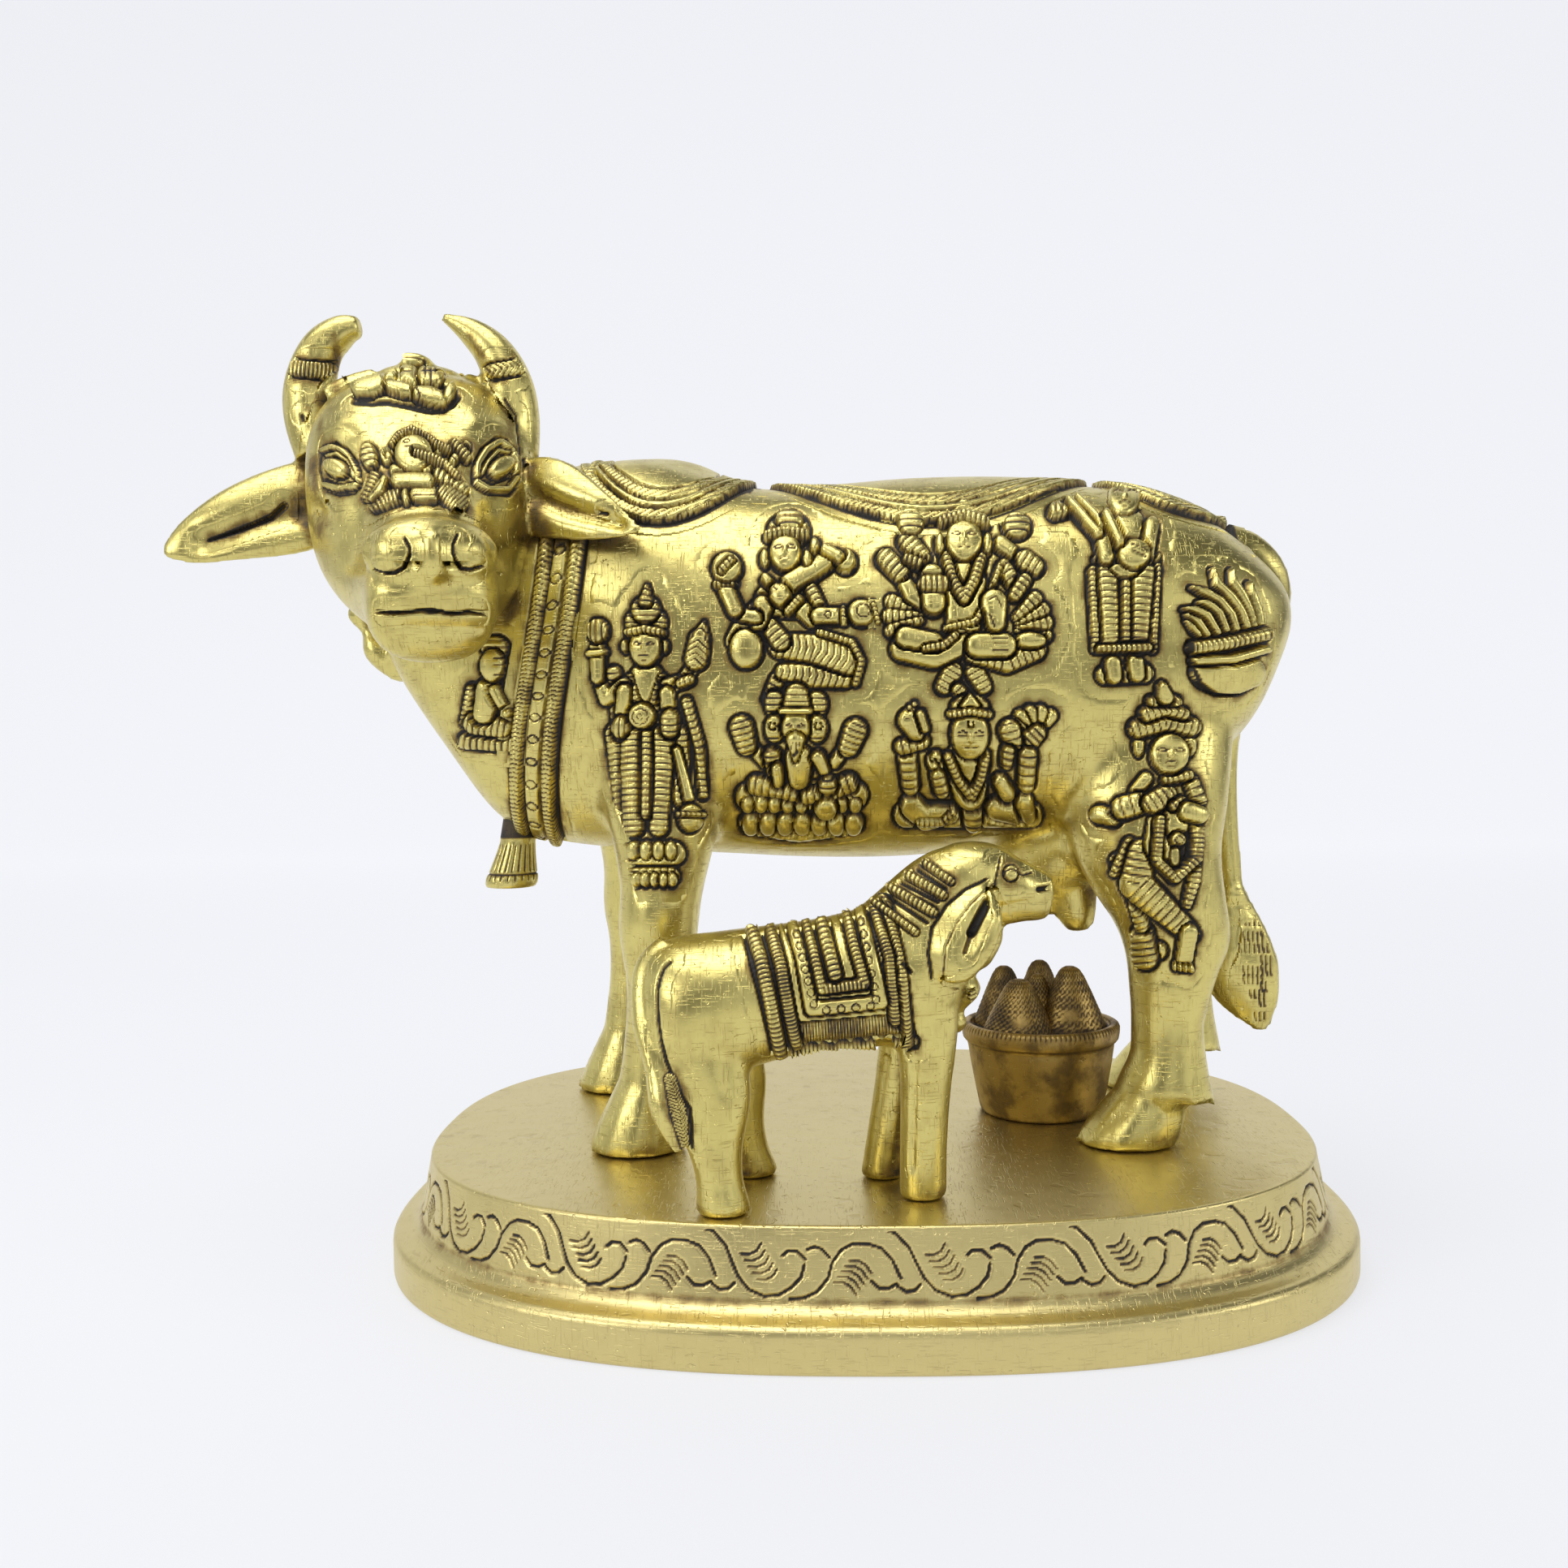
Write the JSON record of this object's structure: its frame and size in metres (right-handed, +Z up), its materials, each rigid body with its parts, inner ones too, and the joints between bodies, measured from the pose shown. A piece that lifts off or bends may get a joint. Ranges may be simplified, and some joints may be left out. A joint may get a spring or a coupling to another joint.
{
  "type": "kamdhenu cow statue",
  "caption": "Cast brass figure of a standing wish-giving cow with her calf and an offering basket on an oval plinth, deities in relief on her flanks.",
  "frame": {"origin": "centre of the plinth's flat underside", "axes": "+X towards the cow's tail, -Y towards the viewer, whom the cow faces, +Z up"},
  "size_m": [0.246, 0.156, 0.1985],
  "materials": {
    "polished_brass": "polished, black patina in the carving",
    "satin_brass": "satin, fine turning and filing marks",
    "brown_brass": "brown patina, dull"
  },
  "bodies": {
    "root": {"plinth": "satin_brass", "cow": "polished_brass", "calf": "polished_brass", "offering_basket": "brown_brass"}
  },
  "joints": []
}
